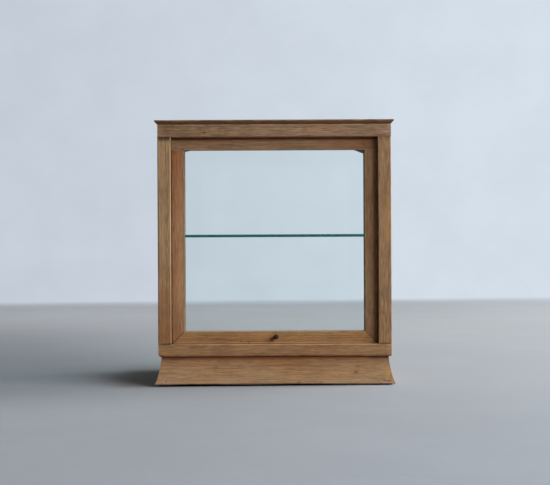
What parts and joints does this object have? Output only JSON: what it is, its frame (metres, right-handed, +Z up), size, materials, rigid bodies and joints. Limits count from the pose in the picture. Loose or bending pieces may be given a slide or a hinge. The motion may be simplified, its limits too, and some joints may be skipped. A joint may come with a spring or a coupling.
{
  "type": "glazed tabletop display case",
  "caption": "Small tabletop showcase in oak with a flared plinth, clear panes all round, a top-hung front sash with a turned knob and a loose glass shelf.",
  "frame": {"origin": "middle of the plinth's footprint, on the surface that the case stands on", "axes": "+Z up, -Y out through the front sash, +X to the right seen from the front"},
  "size_m": [0.264, 0.1608, 0.292],
  "materials": {
    "case_oak": "aged oak, dry oiled, worn corners",
    "plinth_oak": "aged oak, rubbed",
    "lid_oak": "aged oak, darkened",
    "sash_oak": "aged oak, reddish, dry oiled",
    "inner_wood": "plain aged wood, unpolished",
    "dark_wood": "dark turned hardwood, polished by handling",
    "clear_glass": "clear old sheet glass",
    "shelf_glass": "clear plate with green edges",
    "nail_steel": "dull darkened steel"
  },
  "bodies": {
    "case": {"plinth_front": "plinth_oak", "plinth_back": "plinth_oak", "plinth_left": "plinth_oak", "plinth_right": "plinth_oak", "plinth_blocks": "inner_wood", "plinth_brads": "nail_steel", "base_rail_front": "case_oak", "base_rail_back": "case_oak", "base_rail_left": "case_oak", "base_rail_right": "case_oak", "post_front_left": "case_oak", "post_front_right": "case_oak", "post_back_left": "case_oak", "post_back_right": "case_oak", "top_rail_front": "case_oak", "top_rail_back": "case_oak", "top_rail_left": "case_oak", "top_rail_right": "case_oak", "floor_board": "inner_wood", "top_board": "lid_oak", "top_board_brads": "nail_steel", "side_glass_left": "clear_glass", "side_glass_right": "clear_glass", "back_glass": "clear_glass", "back_bead_top": "case_oak", "back_bead_bottom": "case_oak", "back_bead_left": "case_oak", "back_bead_right": "case_oak", "back_bead_brads": "nail_steel", "corner_wedge_left": "inner_wood", "corner_wedge_right": "inner_wood", "shelf_cleat_left": "inner_wood", "shelf_cleat_right": "inner_wood", "pivot_nails": "nail_steel"},
    "sash": {"sash_top_rail": "sash_oak", "sash_bottom_rail": "sash_oak", "sash_stile_left": "sash_oak", "sash_stile_right": "sash_oak", "sash_glass": "clear_glass", "sash_bead_top": "sash_oak", "sash_bead_bottom": "sash_oak", "sash_bead_left": "sash_oak", "sash_bead_right": "sash_oak", "sash_brads": "nail_steel", "sash_knob": "dark_wood"},
    "shelf": {"shelf_glass": "shelf_glass"}
  },
  "joints": [
    {"name": "sash_hinge", "type": "hinge", "parent": "case", "child": "sash", "pos_m": [0, -0.0655, 0.2686], "axis": [-1, 0, 0], "range_deg": [0, 90]},
    {"name": "shelf_lift", "type": "slide", "parent": "case", "child": "shelf", "axis": [0, 0, 1], "range_m": [0, 0.02]}
  ]
}
